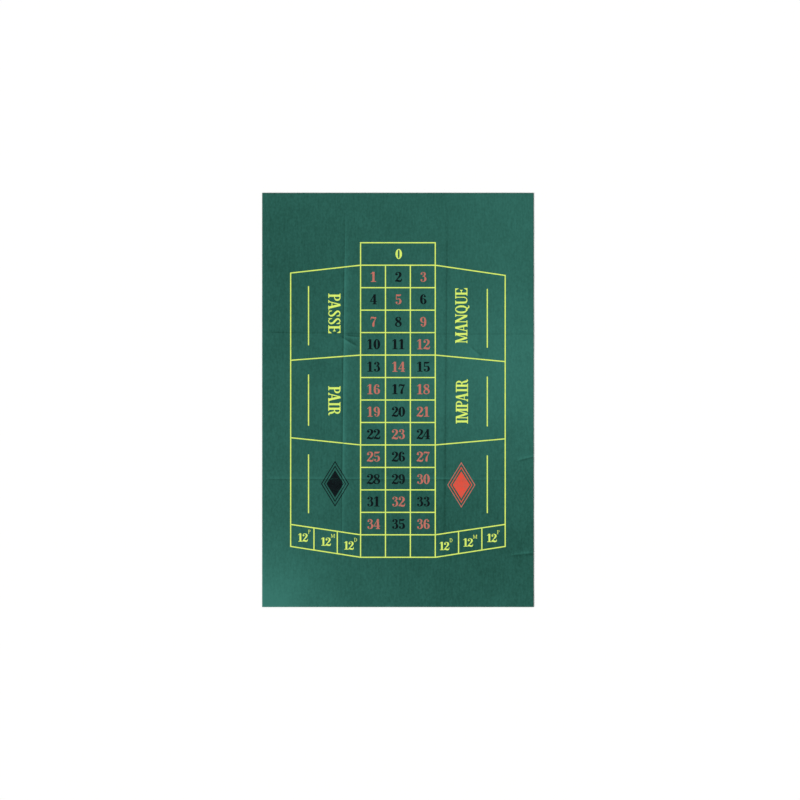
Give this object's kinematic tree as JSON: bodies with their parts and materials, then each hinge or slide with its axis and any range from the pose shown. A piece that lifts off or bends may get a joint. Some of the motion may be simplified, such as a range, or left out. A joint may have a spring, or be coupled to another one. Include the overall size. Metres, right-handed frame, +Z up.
{
  "type": "roulette layout cloth",
  "caption": "Flat felt cloth printed with a French roulette betting layout, laid open on a table top, with side panels that fold up and over along lengthwise creases.",
  "frame": {"origin": "centre of the flat cloth, on the surface that it lies on", "axes": "+X across the cloth, +Y along the cloth towards the zero, +Z up out of the printed face"},
  "size_m": [0.6, 0.915, 0.0015],
  "materials": {
    "green_felt": "dense dark green felt, matt, with a short nap",
    "yellow_ink": "thin screen-printed film, matt",
    "black_ink": "thin screen-printed film, matt",
    "red_ink": "thin screen-printed film, matt"
  },
  "bodies": {
    "centre": {"cloth_centre_panel": "green_felt", "yellow_lines_centre": "yellow_ink", "black_diamond_rim_tip": "black_ink", "black_diamond_ring_tip": "black_ink"},
    "left": {"cloth_left_panel": "green_felt", "yellow_lines_left": "yellow_ink", "yellow_rule_passe": "yellow_ink", "yellow_rule_pair": "yellow_ink", "yellow_rule_black": "yellow_ink", "black_diamond_rim": "black_ink", "black_diamond_ring": "black_ink", "black_diamond_core": "black_ink"},
    "right": {"cloth_right_panel": "green_felt", "yellow_lines_right": "yellow_ink", "yellow_rule_manque": "yellow_ink", "yellow_rule_impair": "yellow_ink", "yellow_rule_red": "yellow_ink", "red_diamond_rim": "red_ink", "red_diamond_ring": "red_ink", "red_diamond_core": "red_ink"}
  },
  "joints": [
    {"name": "left_fold", "type": "hinge", "parent": "centre", "child": "left", "pos_m": [-0.1185, 0, 0.0022], "axis": [0, 1, 0], "range_deg": [0, 179.5]},
    {"name": "right_fold", "type": "hinge", "parent": "centre", "child": "right", "pos_m": [0.107, 0, 0.0048], "axis": [0, -1, 0], "range_deg": [0, 179.5]}
  ]
}
